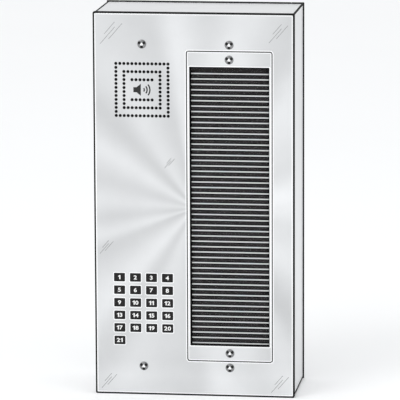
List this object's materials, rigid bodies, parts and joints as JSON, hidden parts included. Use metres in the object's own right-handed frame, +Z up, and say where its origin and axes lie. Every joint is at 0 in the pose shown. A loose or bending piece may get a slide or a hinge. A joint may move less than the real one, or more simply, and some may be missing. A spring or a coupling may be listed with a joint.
{
  "type": "door intercom panel",
  "caption": "Surface-mounted steel door intercom panel with a perforated speaker grille, numbered call buttons that press in, and a name directory behind a clear window.",
  "frame": {"origin": "centre of the wall face, the rear of the foam seal, level with the middle of the box", "axes": "+X to the right seen from the front, +Y into the wall so that the front panel faces -Y, +Z up along the height"},
  "size_m": [0.237, 0.112, 0.456],
  "materials": {
    "stainless": "brushed stainless sheet",
    "screw_steel": "turned stainless",
    "zinc_steel": "bright zinc plate",
    "aluminium": "satin extrusion",
    "magnet_iron": "ferrite between zinc plates",
    "black_rubber": "matt closed cell",
    "black_foam": "soft open cell",
    "silicone": "translucent matt",
    "lead_sheath": "semi-matt",
    "button_plastic": "satin black with white numerals",
    "guide_plastic": "moulded black",
    "terminal_plastic": "moulded green",
    "circuit_board": "solder mask on glass fibre",
    "clear_plastic": "polished clear",
    "black_card": "matt black",
    "screen_cloth": "fine black weave",
    "cone_paper": "pressed pulp"
  },
  "bodies": {
    "housing": {"back_box": "stainless", "wall_seal_left": "black_rubber", "wall_seal_right": "black_rubber", "wall_seal_top": "black_rubber", "wall_seal_pad": "black_rubber", "panel_seal": "black_rubber", "cable_grommet": "black_rubber", "upper_bracket": "zinc_steel", "lower_bracket": "zinc_steel", "front_panel": "stainless", "panel_screw_top_left": "screw_steel", "panel_screw_bottom_left": "screw_steel", "panel_screw_top_right": "screw_steel", "panel_screw_bottom_right": "screw_steel", "directory_frame": "stainless", "directory_window": "clear_plastic", "directory_tray": "zinc_steel", "strip_holder": "aluminium", "name_strips": "black_card", "directory_screw_top": "screw_steel", "directory_screw_bottom": "screw_steel", "speaker_screen": "screen_cloth", "speaker_foam_seal": "black_foam", "speaker_basket": "zinc_steel", "speaker_magnet": "magnet_iron", "speaker_nut_1": "zinc_steel", "speaker_nut_2": "zinc_steel", "speaker_nut_3": "zinc_steel", "speaker_nut_4": "zinc_steel", "button_guide": "guide_plastic", "button_spring_mat": "silicone", "button_board": "circuit_board", "terminal_block": "terminal_plastic", "board_nut_1": "zinc_steel", "board_nut_2": "zinc_steel", "board_nut_3": "zinc_steel", "board_nut_4": "zinc_steel", "speaker_lead": "lead_sheath"},
    "call_button_01": {"button_01": "button_plastic"},
    "call_button_02": {"button_02": "button_plastic"},
    "call_button_03": {"button_03": "button_plastic"},
    "call_button_04": {"button_04": "button_plastic"},
    "call_button_05": {"button_05": "button_plastic"},
    "call_button_06": {"button_06": "button_plastic"},
    "call_button_07": {"button_07": "button_plastic"},
    "call_button_08": {"button_08": "button_plastic"},
    "call_button_09": {"button_09": "button_plastic"},
    "call_button_10": {"button_10": "button_plastic"},
    "call_button_11": {"button_11": "button_plastic"},
    "call_button_12": {"button_12": "button_plastic"},
    "call_button_13": {"button_13": "button_plastic"},
    "call_button_14": {"button_14": "button_plastic"},
    "call_button_15": {"button_15": "button_plastic"},
    "call_button_16": {"button_16": "button_plastic"},
    "call_button_17": {"button_17": "button_plastic"},
    "call_button_18": {"button_18": "button_plastic"},
    "call_button_19": {"button_19": "button_plastic"},
    "call_button_20": {"button_20": "button_plastic"},
    "call_button_21": {"button_21": "button_plastic"},
    "moving_cone": {"speaker_cone": "cone_paper"}
  },
  "joints": [
    {"name": "press_01", "type": "slide", "parent": "housing", "child": "call_button_01", "axis": [0, 1, 0], "range_m": [0, 0.0012], "stiffness_N_per_m": 800, "springref_m": -0.001, "deforming": ["button_spring_mat"]},
    {"name": "press_02", "type": "slide", "parent": "housing", "child": "call_button_02", "axis": [0, 1, 0], "range_m": [0, 0.0012], "stiffness_N_per_m": 800, "springref_m": -0.001, "deforming": ["button_spring_mat"]},
    {"name": "press_03", "type": "slide", "parent": "housing", "child": "call_button_03", "axis": [0, 1, 0], "range_m": [0, 0.0012], "stiffness_N_per_m": 800, "springref_m": -0.001, "deforming": ["button_spring_mat"]},
    {"name": "press_04", "type": "slide", "parent": "housing", "child": "call_button_04", "axis": [0, 1, 0], "range_m": [0, 0.0012], "stiffness_N_per_m": 800, "springref_m": -0.001, "deforming": ["button_spring_mat"]},
    {"name": "press_05", "type": "slide", "parent": "housing", "child": "call_button_05", "axis": [0, 1, 0], "range_m": [0, 0.0012], "stiffness_N_per_m": 800, "springref_m": -0.001, "deforming": ["button_spring_mat"]},
    {"name": "press_06", "type": "slide", "parent": "housing", "child": "call_button_06", "axis": [0, 1, 0], "range_m": [0, 0.0012], "stiffness_N_per_m": 800, "springref_m": -0.001, "deforming": ["button_spring_mat"]},
    {"name": "press_07", "type": "slide", "parent": "housing", "child": "call_button_07", "axis": [0, 1, 0], "range_m": [0, 0.0012], "stiffness_N_per_m": 800, "springref_m": -0.001, "deforming": ["button_spring_mat"]},
    {"name": "press_08", "type": "slide", "parent": "housing", "child": "call_button_08", "axis": [0, 1, 0], "range_m": [0, 0.0012], "stiffness_N_per_m": 800, "springref_m": -0.001, "deforming": ["button_spring_mat"]},
    {"name": "press_09", "type": "slide", "parent": "housing", "child": "call_button_09", "axis": [0, 1, 0], "range_m": [0, 0.0012], "stiffness_N_per_m": 800, "springref_m": -0.001, "deforming": ["button_spring_mat"]},
    {"name": "press_10", "type": "slide", "parent": "housing", "child": "call_button_10", "axis": [0, 1, 0], "range_m": [0, 0.0012], "stiffness_N_per_m": 800, "springref_m": -0.001, "deforming": ["button_spring_mat"]},
    {"name": "press_11", "type": "slide", "parent": "housing", "child": "call_button_11", "axis": [0, 1, 0], "range_m": [0, 0.0012], "stiffness_N_per_m": 800, "springref_m": -0.001, "deforming": ["button_spring_mat"]},
    {"name": "press_12", "type": "slide", "parent": "housing", "child": "call_button_12", "axis": [0, 1, 0], "range_m": [0, 0.0012], "stiffness_N_per_m": 800, "springref_m": -0.001, "deforming": ["button_spring_mat"]},
    {"name": "press_13", "type": "slide", "parent": "housing", "child": "call_button_13", "axis": [0, 1, 0], "range_m": [0, 0.0012], "stiffness_N_per_m": 800, "springref_m": -0.001, "deforming": ["button_spring_mat"]},
    {"name": "press_14", "type": "slide", "parent": "housing", "child": "call_button_14", "axis": [0, 1, 0], "range_m": [0, 0.0012], "stiffness_N_per_m": 800, "springref_m": -0.001, "deforming": ["button_spring_mat"]},
    {"name": "press_15", "type": "slide", "parent": "housing", "child": "call_button_15", "axis": [0, 1, 0], "range_m": [0, 0.0012], "stiffness_N_per_m": 800, "springref_m": -0.001, "deforming": ["button_spring_mat"]},
    {"name": "press_16", "type": "slide", "parent": "housing", "child": "call_button_16", "axis": [0, 1, 0], "range_m": [0, 0.0012], "stiffness_N_per_m": 800, "springref_m": -0.001, "deforming": ["button_spring_mat"]},
    {"name": "press_17", "type": "slide", "parent": "housing", "child": "call_button_17", "axis": [0, 1, 0], "range_m": [0, 0.0012], "stiffness_N_per_m": 800, "springref_m": -0.001, "deforming": ["button_spring_mat"]},
    {"name": "press_18", "type": "slide", "parent": "housing", "child": "call_button_18", "axis": [0, 1, 0], "range_m": [0, 0.0012], "stiffness_N_per_m": 800, "springref_m": -0.001, "deforming": ["button_spring_mat"]},
    {"name": "press_19", "type": "slide", "parent": "housing", "child": "call_button_19", "axis": [0, 1, 0], "range_m": [0, 0.0012], "stiffness_N_per_m": 800, "springref_m": -0.001, "deforming": ["button_spring_mat"]},
    {"name": "press_20", "type": "slide", "parent": "housing", "child": "call_button_20", "axis": [0, 1, 0], "range_m": [0, 0.0012], "stiffness_N_per_m": 800, "springref_m": -0.001, "deforming": ["button_spring_mat"]},
    {"name": "press_21", "type": "slide", "parent": "housing", "child": "call_button_21", "axis": [0, 1, 0], "range_m": [0, 0.0012], "stiffness_N_per_m": 800, "springref_m": -0.001, "deforming": ["button_spring_mat"]},
    {"name": "cone_stroke", "type": "slide", "parent": "housing", "child": "moving_cone", "axis": [0, 1, 0], "range_m": [-0.0005, 0.0005], "stiffness_N_per_m": 2000}
  ]
}
